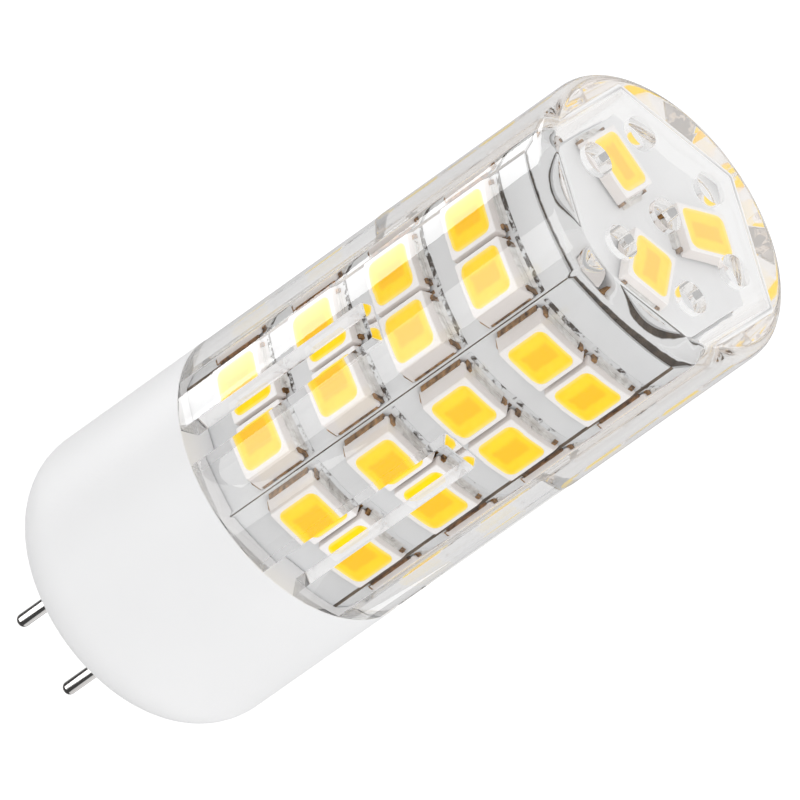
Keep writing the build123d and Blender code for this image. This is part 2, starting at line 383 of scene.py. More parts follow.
class Graph:
    """Small helper round a material's nodes."""

    def __init__(self, name):
        self.material = bpy.data.materials.new(name)
        self.material.use_nodes = True
        self.nodes = self.material.node_tree.nodes
        self.links = self.material.node_tree.links
        self.nodes.clear()
        self.output = self.nodes.new("ShaderNodeOutputMaterial")

    def add(self, kind, **settings):
        """New node with the given settings."""
        node = self.nodes.new(kind)
        for key, value in settings.items():
            setattr(node, key, value)
        return node

    def join(self, source, target):
        """Link from one socket to another."""
        self.links.new(source, target)

    def surface(self, **values):
        """Principled shader with the given values, joined to the output."""
        shader = self.add("ShaderNodeBsdfPrincipled")
        for name, value in values.items():
            shader.inputs[name.replace("_", " ")].default_value = value
        self.join(shader.outputs[0], self.output.inputs["Surface"])
        return shader

    def place(self):
        """Place in the bulb's frame, in metres."""
        return self.add("ShaderNodeTexCoord").outputs["Object"]

    def noise(self, scale, detail=3.0, roughness=0.5, vector=None):
        """Number from 0 to 1. The scale is in waves per metre, unless another vector is given."""
        node = self.add("ShaderNodeTexNoise")
        node.inputs["Scale"].default_value = scale
        node.inputs["Detail"].default_value = detail
        node.inputs["Roughness"].default_value = roughness
        self.join(vector or self.place(), node.inputs["Vector"])
        return node.outputs["Fac"]

    def stretched(self, x, y, z):
        """Place, multiplied along each axis."""
        node = self.add("ShaderNodeMapping")
        node.inputs["Scale"].default_value = (x, y, z)
        self.join(self.place(), node.inputs["Vector"])
        return node.outputs["Vector"]

    def ramp(self, source, low, high, start=0.3, end=0.7):
        """Colour that runs from low to high as source runs from start to end."""
        node = self.add("ShaderNodeValToRGB")
        node.color_ramp.elements[0].position = start
        node.color_ramp.elements[0].color = (*low, 1)
        node.color_ramp.elements[1].position = end
        node.color_ramp.elements[1].color = (*high, 1)
        self.join(source, node.inputs["Fac"])
        return node.outputs["Color"]

    def level(self, source, low, high):
        """Number that runs from low to high as source runs from 0 to 1."""
        node = self.add("ShaderNodeMapRange")
        node.inputs["To Min"].default_value = low
        node.inputs["To Max"].default_value = high
        self.join(source, node.inputs["Value"])
        return node.outputs["Result"]

    def axis(self, vector, name):
        """One coordinate of a vector."""
        node = self.add("ShaderNodeSeparateXYZ")
        self.join(vector, node.inputs[0])
        return node.outputs[name]

    def math(self, operation, first, second=None, clamp=False):
        """Result of a sum. Each value is a socket or a number."""
        node = self.add("ShaderNodeMath", operation=operation, use_clamp=clamp)
        for socket, value in zip(node.inputs, (first, second)):
            if isinstance(value, (int, float)):
                socket.default_value = value
            elif value is not None:
                self.join(value, socket)
        return node.outputs[0]

    def blend(self, factor, first, second):
        """Colour between two colours, each a socket or a tuple."""
        node = self.add("ShaderNodeMix", data_type="RGBA")
        self.join(factor, node.inputs[0])
        for socket, value in zip((node.inputs[6], node.inputs[7]), (first, second)):
            if isinstance(value, tuple):
                socket.default_value = (*value, 1)
            else:
                self.join(value, socket)
        return node.outputs[2]

    def bump(self, shader, height, strength, depth_mm):
        """Relief on a shader's surface."""
        node = self.add("ShaderNodeBump")
        node.inputs["Strength"].default_value = strength
        node.inputs["Distance"].default_value = depth_mm * MM
        self.join(height, node.inputs["Height"])
        self.join(node.outputs["Normal"], shader.inputs["Normal"])


def moulded_plastic(name, low, high, roughness, grain=0.02, gloss=0.45):
    """Smooth moulded plastic with a faint unevenness in colour, gloss and surface."""
    graph = Graph(name)
    shader = graph.surface(Specular_IOR_Level=gloss)
    cloud = graph.noise(180, 3)
    graph.join(graph.ramp(cloud, low, high), shader.inputs["Base Color"])
    gloss_cloud = graph.level(graph.noise(900, 2), roughness - 0.04, roughness + 0.06)
    graph.join(gloss_cloud, shader.inputs["Roughness"])
    graph.bump(shader, graph.noise(5200, 3), 0.25, grain)
    return graph.material


def clear_plastic():
    """Clear polished moulding. Lamps and soft light pass straight through it to what is inside."""
    graph = Graph("clear_plastic")
    glass = graph.surface(Base_Color=(1, 1, 1, 1), Transmission_Weight=1.0, IOR=1.5)
    graph.join(graph.level(graph.noise(420, 2), 0.0, 0.012), glass.inputs["Roughness"])
    graph.bump(glass, graph.noise(150, 2), 0.12, 0.02)
    passing = graph.add("ShaderNodeBsdfTransparent")
    passing.inputs["Color"].default_value = (0.99, 0.988, 0.986, 1)
    path = graph.add("ShaderNodeLightPath")
    straight = graph.math("MAXIMUM", path.outputs["Is Shadow Ray"], path.outputs["Is Diffuse Ray"])
    mix = graph.add("ShaderNodeMixShader")
    graph.join(straight, mix.inputs[0])
    graph.join(glass.outputs[0], mix.inputs[1])
    graph.join(passing.outputs[0], mix.inputs[2])
    graph.join(mix.outputs[0], graph.output.inputs["Surface"])
    absorption = graph.add("ShaderNodeVolumeAbsorption")
    absorption.inputs["Color"].default_value = (0.93, 0.9, 0.87, 1)
    absorption.inputs["Density"].default_value = 60.0
    graph.join(absorption.outputs[0], graph.output.inputs["Volume"])
    return graph.material


def board_mask(name, low, high):
    """White solder mask: matt, slightly cloudy, with a fine grain."""
    graph = Graph(name)
    shader = graph.surface(Specular_IOR_Level=0.4)
    tone = graph.noise(260, 4)
    graph.join(graph.ramp(tone, low, high), shader.inputs["Base Color"])
    graph.join(graph.level(graph.noise(1500, 2), 0.32, 0.5), shader.inputs["Roughness"])
    graph.bump(shader, graph.noise(7000, 3), 0.3, 0.015)
    return graph.material


def board_core():
    """Sawn edge of a circuit board: brown, with lighter glass layers."""
    graph = Graph("board_core")
    shader = graph.surface(Specular_IOR_Level=0.3)
    fibres = graph.noise(1.0, 4, vector=graph.stretched(4000, 4000, 700))
    graph.join(graph.ramp(fibres, (0.09, 0.06, 0.035), (0.42, 0.33, 0.24)), shader.inputs["Base Color"])
    graph.join(graph.level(fibres, 0.5, 0.8), shader.inputs["Roughness"])
    graph.bump(shader, fibres, 0.4, 0.02)
    return graph.material


def flux_and_painted_shade():
    """Ragged dark brown marks on the white boards, partly burnt flux and partly painted shade in the gap
    beside the leads, stronger towards -X and up the tower.
    """
    graph = Graph("flux_and_painted_shade")
    shader = graph.surface(Specular_IOR_Level=0.3, Roughness=0.6)
    place = graph.place()
    grain = graph.noise(2600, 4, 0.65)
    sideways = graph.math("MULTIPLY", graph.axis(place, "X"), -FLUX_SHADE_SIDEWAYS / MM)
    height = graph.math("SUBTRACT", graph.axis(place, "Z"), FLUX_SHADE_MIDDLE * MM)
    bias = graph.math("ADD", sideways, graph.math("MULTIPLY", height, FLUX_SHADE_UPWARDS / MM))
    marks = graph.math("ADD", grain, bias)
    colour = graph.ramp(marks, (0.69, 0.7, 0.71), (0.045, 0.03, 0.02), *FLUX_SHADE_RAGGED)
    graph.join(colour, shader.inputs["Base Color"])
    return graph.material


def edge_core_and_painted_shade():
    """Side of the top board: near black along its underside, where the side boards meet it, partly bare
    core and partly painted shade, and white above.
    """
    graph = Graph("edge_core_and_painted_shade")
    shader = graph.surface(Specular_IOR_Level=0.3, Roughness=0.55)
    place = graph.place()
    height = graph.math("SUBTRACT", graph.math("DIVIDE", graph.axis(place, "Z"), MM), TOP_BOARD_LOW.z)
    towards_right = graph.math("MAXIMUM", graph.axis(place, "X"), 0.0)
    rise = graph.math("MULTIPLY", towards_right, DARK_EDGE_SLOPE / MM)
    ragged = graph.math("MULTIPLY", graph.noise(2400, 3, 0.6), DARK_EDGE_RAGGED)
    limit = graph.math("ADD", graph.math("ADD", rise, ragged), DARK_EDGE_LOW)
    below = graph.math("SUBTRACT", limit, height)
    # The dark band below the ragged limit is partly bare core and partly painted shade at the joint.
    bare = graph.math("MULTIPLY", below, DARK_EDGE_SHARPNESS, clamp=True)
    fibres = graph.noise(1.0, 4, vector=graph.stretched(4000, 4000, 900))
    core = graph.ramp(fibres, (0.02, 0.015, 0.012), (0.11, 0.08, 0.055))
    graph.join(graph.blend(bare, (0.74, 0.745, 0.75), core), shader.inputs["Base Color"])
    return graph.material


def phosphor():
    """Yellow silicone over the light-giving chip, which shows through as a deeper rectangle. The fill also
    glows faintly in its own colour, which is painted light, as the LED is off.
    """
    graph = Graph("phosphor")
    # Emission Strength is a faint painted glow that brightens the yellow windows.
    shader = graph.surface(Specular_IOR_Level=0.12, IOR=1.41, Emission_Strength=0.15)
    spot = graph.add("ShaderNodeUVMap", uv_map="package").outputs["UV"]
    grain = graph.noise(6.0, 3, vector=spot)
    wobble = graph.math("MULTIPLY", graph.math("SUBTRACT", grain, 0.5), CHIP_WOBBLE)
    window = window_length(SIDE_LED_LENGTH)

    def from_middle(axis, size):
        """Distance in millimetres from the middle of the window, which is size long in this direction."""
        share = graph.math("ABSOLUTE", graph.math("SUBTRACT", graph.axis(spot, axis), 0.5))
        return graph.math("MULTIPLY", share, size / WINDOW_SHARE)

    across = from_middle("X", WINDOW_WIDTH)
    along = from_middle("Y", window)

    def past(half_width, half_length):
        """How far a spot lies outside a rectangle in the middle of the window."""
        return graph.math(
            "MAXIMUM",
            graph.math("SUBTRACT", across, half_width),
            graph.math("SUBTRACT", along, half_length),
        )

    chip = graph.math("SUBTRACT", wobble, past(CHIP_HALF_WIDTH, CHIP_HALF_LENGTH))
    chip = graph.math("ADD", graph.math("MULTIPLY", chip, CHIP_SHARPNESS), 0.5, clamp=True)
    rim = past(WINDOW_WIDTH / 2 - FILL_RIM, window / 2 - FILL_RIM)
    rim = graph.math("MULTIPLY", rim, FILL_RIM_SHARPNESS, clamp=True)
    rim = graph.math("MULTIPLY", rim, FILL_RIM_STRENGTH)
    colour = graph.ramp(grain, (1.0, 0.655, 0.005), (1.0, 0.72, 0.01))
    colour = graph.blend(chip, colour, (1.0, 0.555, 0.002))
    colour = graph.blend(rim, colour, (1.0, 0.83, 0.36))
    graph.join(colour, shader.inputs["Base Color"])
    # The same colour feeds the painted glow.
    graph.join(colour, shader.inputs["Emission Color"])
    graph.join(graph.level(grain, 0.22, 0.4), shader.inputs["Roughness"])
    graph.bump(shader, graph.noise(2600, 3), 0.3, 0.02)
    return graph.material


def tinned_metal(name, low, high, roughness, lines=1, relief=0.3, metallic=1.0):
    """Bright metal with soft tarnish. lines stretches the grain along the bulb's axis."""
    graph = Graph(name)
    shader = graph.surface(Metallic=metallic)
    grain = graph.noise(1.0, 4, vector=graph.stretched(3200, 3200, 3200 / lines))
    graph.join(graph.ramp(grain, low, high), shader.inputs["Base Color"])
    graph.join(graph.level(grain, roughness - 0.06, roughness + 0.1), shader.inputs["Roughness"])
    graph.bump(shader, grain, relief, 0.01)
    return graph.material


MATERIALS = {
    "base": moulded_plastic("white_moulding", (0.855, 0.855, 0.86), (0.87, 0.87, 0.875), 0.5, gloss=0.2),
    "clear": clear_plastic(),
    # Side boards and the board under the cap are the same white mask. The board under the cap gets a
    # lighter copy, which is painted light on its upward face.
    "board": board_mask("board_white", (0.69, 0.7, 0.71), (0.75, 0.757, 0.765)),
    "crown": board_mask("crown_board_white_painted_light", (0.785, 0.79, 0.797), (0.845, 0.85, 0.856)),
    "core": board_core(),
    "flux_and_painted_shade": flux_and_painted_shade(),
    "edge_shade": edge_core_and_painted_shade(),
    "package": moulded_plastic("led_package", (0.93, 0.9, 0.885), (0.95, 0.925, 0.915), 0.34, 0.012),
    # The package's outer walls: the same white plastic in a darker copy, painted shade.
    "package_shaded_wall": moulded_plastic(
        "led_package_painted_shade_wall", (0.75, 0.7, 0.67), (0.84, 0.8, 0.775), 0.4, 0.012, gloss=0.3
    ),
    "phosphor": phosphor(),
    "lead": tinned_metal("lead_metal", (0.6, 0.57, 0.54), (0.92, 0.91, 0.89), 0.28, metallic=0.55),
    "copper": tinned_metal("lead_copper", (0.07, 0.035, 0.015), (0.6, 0.34, 0.14), 0.38),
    "pin": tinned_metal("pin_metal", (0.74, 0.71, 0.69), (0.88, 0.87, 0.86), 0.09, lines=14, relief=0.06),
    "green": moulded_plastic("driver_board_green", (0.03, 0.13, 0.06), (0.05, 0.18, 0.08), 0.45),
    "chip": moulded_plastic("chip_black", (0.018, 0.018, 0.02), (0.03, 0.03, 0.032), 0.5),
    "ceramic": moulded_plastic("capacitor_tan", (0.3, 0.2, 0.11), (0.38, 0.26, 0.15), 0.5),
}


# Base, pins and boards


def arc(centre, radius, start, end, steps):
    """Points round an arc, as (across, height)."""
    turns = [math.radians(start + (end - start) * i / steps) for i in range(steps + 1)]
    return [(centre[0] + radius * math.cos(t), centre[1] + radius * math.sin(t)) for t in turns]


def base_moulding():
    """White cup with a rounded foot, a softly rounded rim and a six-sided socket for the tower."""
    bm = bmesh.new()
    foot = arc((BODY_RADIUS - FOOT_ROUND, FOOT_ROUND), FOOT_ROUND, -90, 0, 24)
    rim_centre = (BODY_RADIUS - BASE_RIM_ROUND, BASE_TOP - BASE_RIM_ROUND)
    rim = arc(rim_centre, BASE_RIM_ROUND, 0, 90, 4)
    stacked(bm, [(circle(across, BASE_SEGMENTS), height) for across, height in foot + rim])
    piece = loose_object("base_moulding", bm)
    cutter = bmesh.new()
    outline = rounded_hexagon(SOCKET_APOTHEM, SOCKET_CORNER, 4, 1)
    stacked(cutter, [(outline, SOCKET_FLOOR), (outline, BASE_TOP + CUT_MARGIN)])
    cut(piece, [loose_object("socket", cutter)])
    mesh = mesh_from(taken_back(piece), "base_moulding")
    add_piece("base_moulding", mesh, [MATERIALS["base"]], "white_moulding", "base_shell")


def contact_pin(name, x, node):
    """Drawn wire with a round tip. It runs a little way into the base."""
    bm = bmesh.new()
    tip_centre = PIN_RADIUS - PIN_TIP_ROUND
    tip = arc((tip_centre, PIN_BOTTOM + PIN_TIP_ROUND), PIN_TIP_ROUND, -90, 0, 8)
    profile = tip + [(PIN_RADIUS, PIN_INNER_TOP)]
    stacked(bm, [(circle(across, PIN_SEGMENTS), height) for across, height in profile])
    bm.transform(moved(x, 0, 0))
    add_piece(name, mesh_from(bm, name), [MATERIALS["pin"]], "pin_metal", node)


def side_board(number, angle):
    """One face of the tower. Its long outer edges are bare and slightly broken, so the brown core shows."""
    bm = bmesh.new()
    outer_half = BOARD_APOTHEM * math.tan(HALF_FACE)
    inner = BOARD_APOTHEM - BOARD_THICKNESS
    inner_half = inner * math.tan(HALF_FACE)
    drop = BARE_EDGE * math.tan(HALF_FACE)
    slant = BARE_EDGE * 0.45
    section = [
        (inner, -inner_half),
        (BOARD_APOTHEM - drop - BARE_EDGE, -outer_half + drop + slant),
        (BOARD_APOTHEM, -outer_half + BARE_EDGE),
        (BOARD_APOTHEM, outer_half - BARE_EDGE),
        (BOARD_APOTHEM - drop - BARE_EDGE, outer_half - drop - slant),
        (inner, inner_half),
    ]
    rings = [add_loop(bm, section, height) for height in (SIDE_LOW.z, BOARD_TOP)]
    bridge(bm, *rings)
    close_ends(bm, *rings)
    # Only the bare edges have their middle this far out.
    furthest_white = outer_half - 1.4 * BARE_EDGE
    for face in bm.faces:
        if abs(face.calc_center_median().y) > furthest_white:
            face.material_index = 1
    bm.transform(turned(angle))
    name = f"board_face_{number}"
    mesh = mesh_from(bm, name)
    materials = [MATERIALS["board"], MATERIALS["core"]]
    add_piece(name, mesh, materials, "board_white", f"side_board_{number}")


def crown_board():
    """Six-sided board under the cap, with a softly broken top edge and a side that is dark below, partly
    bare core and partly painted shade.
    """
    bm = bmesh.new()
    across = TOP_BOARD_HIGH.x
    levels = [
        (across, TOP_BOARD_LOW.z),
        (across, TOP_BOARD_HIGH.z - CROWN_EDGE_BREAK),
        (across - CROWN_EDGE_BREAK, TOP_BOARD_HIGH.z),
    ]
    stacked(bm, [(rounded_hexagon(apothem, CROWN_CORNER, 3, 1), z) for apothem, z in levels])
    bm.normal_update()
    for face in bm.faces:
        if abs(face.normal.z) < 0.5:
            face.material_index = 1
    mesh = mesh_from(bm, "crown_board")
    materials = [MATERIALS["crown"], MATERIALS["edge_shade"]]
    add_piece("crown_board", mesh, materials, "board_white", "top_board")


# LED packages


def is_outside(face, length):
    """Whether a face of the package belongs to its outer wall."""
    middle = face.calc_center_median()
    return abs(middle.x) > LED_WIDTH / 2 - LED_WALL or abs(middle.y) > length / 2 - LED_WALL


def package_body(bm, length):
    """White package: tapered outside with soft edges, and a shallow cup. Its outer walls get a darker,
    duller copy of the white, which is painted shade.
    """
    window = window_length(length)
    narrow = LED_TOP_INSET * 2
    # How much narrower each ring is than the package, and its height
    outer = [
        (0.0, LED_SEAT),
        (narrow * 0.9, LED_HEIGHT - LED_EDGE),
        (narrow + LED_EDGE * 0.6, LED_HEIGHT - LED_EDGE * 0.3),
        (narrow + LED_EDGE * 2, LED_HEIGHT),
    ]
    # How much wider each ring is than the window, its height, and how much rounder its corners are
    cup = [
        (0.06, LED_HEIGHT, 0.03),
        (0.0, LED_HEIGHT - FILL_RECESS, 0.0),
        (-0.2, LED_HEIGHT - WINDOW_DEPTH, -0.1),
    ]
    rings = [
        (rounded_rectangle(LED_WIDTH - less, length - less, LED_CORNER), z) for less, z in outer
    ] + [
        (rounded_rectangle(WINDOW_WIDTH + more, window + more, WINDOW_CORNER + rounder), z)
        for more, z, rounder in cup
    ]
    stacked(bm, rings)
    # Outer walls take the darker copy of the white, which is painted shade.
    for face in bm.faces:
        height = face.calc_center_median().z
        if LED_SEAT < height < LED_HEIGHT - LED_EDGE and is_outside(face, length):
            face.material_index = 1


def package_fill(bm, length):
    """Phosphor fill: closed, with a slightly sunken top."""
    top = LED_HEIGHT - FILL_RECESS
    window = window_length(length)
    # How much narrower each ring is than the window, its height, and how much less round its corners are
    levels = [
        (0.15, LED_HEIGHT - FILL_DEPTH, 0.07),
        (0.0, top + 0.004, 0.0),
        (0.3, top - 0.012, 0.1),
        (1.0, top - 0.02, 0.2),
    ]
    rings = [
        (rounded_rectangle(WINDOW_WIDTH - less, window - less, WINDOW_CORNER - sharper), z)
        for less, z, sharper in levels
    ]
    stacked(bm, rings)


def add_box(bm, low, high, material=0):
    """Box between two corners, in the given material."""
    made = bmesh.ops.create_cube(bm, size=1.0)
    size = Vector(high) - Vector(low)
    middle = (Vector(high) + Vector(low)) / 2
    bmesh.ops.scale(bm, vec=size, verts=made["verts"])
    bmesh.ops.translate(bm, vec=middle, verts=made["verts"])
    for face in {face for vertex in made["verts"] for face in vertex.link_faces}:
        face.material_index = material


def package_leads(bm, length):
    """Tinned lead, its solder and two cut copper ties at each end of the package."""
    end = length / 2
    half = LEAD_WIDTH / 2
    for way in (-1, 1):
        start = len(bm.verts)
        add_box(bm, (-half, end - LEAD_INSIDE, 0), (half, end + LEAD_REACH, LED_SEAT))
        # Side view of the lead's bend and its solder, as (along the package, height)
        section = [
            (end - OVERLAP, 0.0),
            (end + SOLDER_REACH, 0.0),
            (end + SOLDER_REACH * 0.55, 0.07),
            (end + SOLDER_REACH * 0.3, 0.16),
            (end + SOLDER_REACH * 0.22, LEAD_RISE * 0.9),
            (end + SOLDER_REACH * 0.1, LEAD_RISE),
            (end - OVERLAP, LEAD_RISE),
        ]
        left, right = ([bm.verts.new((x, y, z)) for y, z in section] for x in (-half, half))
        bridge(bm, left, right)
        bm.faces.new(left)
        bm.faces.new(list(reversed(right)))
        for side in (-1, 1):
            low = (side * TIE_OFFSET - TIE_WIDTH / 2, end - TIE_INSIDE, 0.0)
            high = (side * TIE_OFFSET + TIE_WIDTH / 2, end + TIE_REACH, LEAD_RISE + TIE_ABOVE_LEAD)
            add_box(bm, low, high, 1)
        bm.verts.ensure_lookup_table()
        if way < 0:
            bmesh.ops.scale(bm, vec=(-1, -1, 1), verts=bm.verts[start:])


def side_leads(bm, length):
    """Leads of a side LED, with dark marks above the upper one, partly burnt flux and partly painted shade,
    and on both sides the frame's cut edge, which also stands as painted shade under the package.
    """
    package_leads(bm, length)
    end = length / 2
    half = LED_WIDTH / 2
    foot = end + SOLDER_REACH - OVERLAP
    # Dark marks above the upper lead: burnt flux and painted shade.
    add_box(bm, (-half, foot, 0.0), (half, foot + FLUX_SHADE_REACH, TRACK_HEIGHT), 2)
    # Dark strip along each side of the foot: lead frame edge and painted shade under the package.
    for side in (-1, 1):
        inner = side * (half - FRAME_SHADE_STRIP_INSIDE)
        outer = side * (half + FRAME_SHADE_STRIP_REACH)
        low = (min(inner, outer), FRAME_SHADE_STRIP_SHORTER - end, 0.0)
        high = (max(inner, outer), end - FRAME_SHADE_STRIP_SHORTER, FRAME_SHADE_STRIP_HEIGHT)
        add_box(bm, low, high, 1)


def row_height(row):
    """Height of the middle of a row of LEDs. Row 0 is the highest."""
    return COVER_TOP - FIRST_ROW_BELOW_CAP - row * LED_ROW_PITCH


def side_led_places(angle, shift):
    """Where the LEDs of one side board go."""
    tip = Matrix.Rotation(math.radians(90), 4, "X") @ Matrix.Rotation(math.radians(90), 4, "Y")
    places = []
    for row in range(LED_ROWS):
        for side in (-1, 1):
            spot = moved(BOARD_APOTHEM, shift + side * LED_PAIR_PITCH / 2, row_height(row))
            places.append(turned(angle) @ spot @ tip)
    return places


def side_tracks_and_gap_shade(angle, shift):
    """Copper tracks of one side board, one between the two LEDs of each row, as (low, high, angle). Their
    dark copper also stands as painted shade in the gap between the packages.
    """
    half_width = TRACK_WIDTH / 2
    tracks = []
    for row in range(LED_ROWS):
        middle = row_height(row)
        low = middle - SIDE_LED_LENGTH / 2 - TRACK_PAST_PACKAGE
        high = middle + SIDE_LED_LENGTH / 2 + TRACK_PAST_PACKAGE
        corners = (
            (BOARD_APOTHEM, shift - half_width, low),
            (BOARD_APOTHEM + TRACK_HEIGHT, shift + half_width, high),
        )
        tracks.append((*corners, angle))
    return tracks


def top_led_places():
    """Where the LEDs under the cap go."""
    spot = moved(TOP_LED_RADIUS, 0, TOP_BOARD_HIGH.z)
    return [turned(angle) @ spot @ turned(90) for angle in TOP_LED_ANGLES]


def copies(builder, places, length, with_uv=False):
    """One bmesh with what builder makes at every place. WINDOW_SHARE of the UV map shows the window."""
    window = window_length(length)
    bm = bmesh.new()
    if with_uv:
        bm.loops.layers.uv.new("package")
    for place in places:
        single = bmesh.new()
        builder(single, length)
        bmesh.ops.recalc_face_normals(single, faces=single.faces)
        if with_uv:
            own = single.loops.layers.uv.new("package")
            for face in single.faces:
                for loop in face.loops:
                    x, y, _ = loop.vert.co
                    u = WINDOW_SHARE * x / WINDOW_WIDTH + 0.5
                    v = WINDOW_SHARE * y / window + 0.5
                    loop[own].uv = (u, v)
        single.transform(place)
        step = plain_mesh(single, "step")
        bm.from_mesh(step)
        bpy.data.meshes.remove(step)
    return bm


def led_group(board, node, places, length, tracks=()):
    """Packages, phosphor and leads of one board. The nodes that they stand for are named after node."""
    bodies = f"{board}_bodies"
    mesh = mesh_from(copies(package_body, places, length), bodies)
    materials = [MATERIALS["package"], MATERIALS["package_shaded_wall"]]
    add_piece(bodies, mesh, materials, "led_package", node.format("bodies"))
    fill = f"{board}_phosphor"
    mesh = mesh_from(copies(package_fill, places, length, with_uv=True), fill)
    add_piece(fill, mesh, [MATERIALS["phosphor"]], "phosphor", node.format("phosphor"))
    leads = f"{board}_leads"
    bm = copies(side_leads if tracks else package_leads, places, length)
    for low, high, angle in tracks:
        start = len(bm.verts)
        add_box(bm, low, high, 1)
        bm.verts.ensure_lookup_table()
        bmesh.ops.transform(bm, matrix=turned(angle), verts=bm.verts[start:])
    mesh = mesh_from(bm, leads)
    materials = [MATERIALS["lead"], MATERIALS["copper"], MATERIALS["flux_and_painted_shade"]]
    add_piece(leads, mesh, materials, "lead_metal", node.format("leads"))


def tower():
    """Six side boards with their LEDs, which lie off the middle, by turns to the left and to the right."""
    for number, angle in enumerate(FACE_ANGLES, start=1):
        side_board(number, angle)
        shift = LED_PAIR_SHIFT if number % 2 == 0 else -LED_PAIR_SHIFT
        places = side_led_places(angle, shift)
        tracks = side_tracks_and_gap_shade(angle, shift)
        led_group(f"tower_{number}", f"side_led_{{}}_{number}", places, SIDE_LED_LENGTH, tracks)


def crown():
    """Board under the cap with its LEDs."""
    crown_board()
    led_group("crown", "top_led_{}", top_led_places(), TOP_LED_LENGTH)


# Clear cover


def slot_cutter(angle):
    """Cuts one slot through the wall, from below the cover's edge up to its square top end."""
    half = SLOT_WIDTH / 2
    low, high = COVER_BOTTOM - CUT_MARGIN, COVER_BOTTOM + SLOT_HEIGHT
    corners = [(-half, low), (half, low), (half, high), (-half, high)]
    outline = rounded_polygon(corners, SLOT_CORNER, 4)
    bm = bmesh.new()
    reach = (BORE_APOTHEM - SLOT_CUT_INSIDE, BODY_RADIUS + CUT_MARGIN)
    rings = [[bm.verts.new((x, y, z)) for y, z in outline] for x in reach]
    bridge(bm, *rings)
    bm.faces.new(rings[0])
    bm.faces.new(list(reversed(rings[1])))
    bm.transform(turned(angle))
    return loose_object("slot", bm)


def vent_cutter(x, y):
    """Cuts one round hole through the cap."""
    bm = bmesh.new()
    outline = circle(VENT_RADIUS, VENT_SEGMENTS)
    low, high = COVER_TOP - CAP_THICKNESS - CUT_MARGIN, COVER_TOP + CUT_MARGIN
    stacked(bm, [(outline, low), (outline, high)])
    bm.transform(moved(x, y, 0))
    return loose_object("vent", bm)


def bore_cutter():
    """Six-sided bore with softly rounded corners and a rounded ceiling edge."""
    bm = bmesh.new()
    ceiling = COVER_TOP - CAP_THICKNESS
    levels = [(0.0, COVER_BOTTOM - CUT_MARGIN)]
    for across, height in arc((0.0, ceiling - CEILING_ROUND), CEILING_ROUND, 0, 90, 8):
        levels.append((CEILING_ROUND - across, height))
    rings = []
    for inset, height in levels:
        corner = max(BORE_CORNER, CEILING_ROUND * 0.6 - inset)
        rings.append((rounded_hexagon(BORE_APOTHEM - inset, corner, 8, 6), height))
    stacked(bm, rings)
    return loose_object("bore", bm)


def clear_moulding():
    """Cover: round outside with soft edges, less the bore, six slots and seven vents."""
    bm = bmesh.new()
    low_centre = (BODY_RADIUS - EDGE_SOFTENING, COVER_BOTTOM + EDGE_SOFTENING)
    high_centre = (BODY_RADIUS - CAP_EDGE_ROUND, COVER_TOP - CAP_EDGE_ROUND)
    profile = arc(low_centre, EDGE_SOFTENING, -90, 0, 3) + arc(high_centre, CAP_EDGE_ROUND, 0, 90, 14)
    stacked(bm, [(circle(across, COVER_SEGMENTS), height) for across, height in profile])
    piece = loose_object("clear_moulding", bm)
    vents = [vent_cutter(0, 0)]
    for angle in FACE_ANGLES:
        turn = math.radians(angle + 30)
        vents.append(vent_cutter(VENT_RING * math.cos(turn), VENT_RING * math.sin(turn)))
    slots = [slot_cutter(angle) for angle in FACE_ANGLES]
    cut(piece, [bore_cutter(), *vents, *slots])
    mesh = mesh_from(taken_back(piece), "clear_moulding")
    add_piece("clear_moulding", mesh, [MATERIALS["clear"]], "clear_plastic", "clear_cover")


# Stage, light and camera


def floor_material():
    """Pale floor that shows white where nothing shades it, and that can be looked through from below."""
    graph = Graph("floor")
    diffuse = graph.add("ShaderNodeBsdfDiffuse")
    diffuse.inputs["Color"].default_value = (0.9, 0.9, 0.9, 1)
    glow = graph.add("ShaderNodeEmission")
    glow.inputs["Color"].default_value = (1, 1, 1, 1)
    path = graph.add("ShaderNodeLightPath")
    seen = graph.math("MAXIMUM", path.outputs["Is Camera Ray"], path.outputs["Is Glossy Ray"])
    level = graph.math("MULTIPLY", seen, FLOOR_GLOW)
    # A ray through clear plastic counts as a glossy ray as well, so what it gets too much is taken away.
    excess = FLOOR_GLOW - FLOOR_GLOW_THROUGH_PLASTIC
    through = graph.math("MULTIPLY", path.outputs["Is Transmission Ray"], excess)
    graph.join(graph.math("SUBTRACT", level, through), glow.inputs["Strength"])
    both = graph.add("ShaderNodeAddShader")
    graph.join(diffuse.outputs[0], both.inputs[0])
    graph.join(glow.outputs[0], both.inputs[1])
    sides = graph.add("ShaderNodeMixShader")
    graph.join(graph.add("ShaderNodeNewGeometry").outputs["Backfacing"], sides.inputs[0])
    graph.join(both.outputs[0], sides.inputs[1])
    graph.join(graph.add("ShaderNodeBsdfTransparent").outputs[0], sides.inputs[2])
    graph.join(sides.outputs[0], graph.output.inputs["Surface"])
    return graph.material


def floor():
    """Square floor below the pins."""
    bm = bmesh.new()
    half = FLOOR_SIZE_M / 2
    level = (PIN_BOTTOM - FLOOR_DROP) * MM
    corners = ((-half, -half), (half, -half), (half, half), (-half, half))
    bm.faces.new(add_loop(bm, corners, level))
    mesh = plain_mesh(bm, "floor")
    mesh.materials.append(floor_material())
    plane = add_object("floor", mesh)


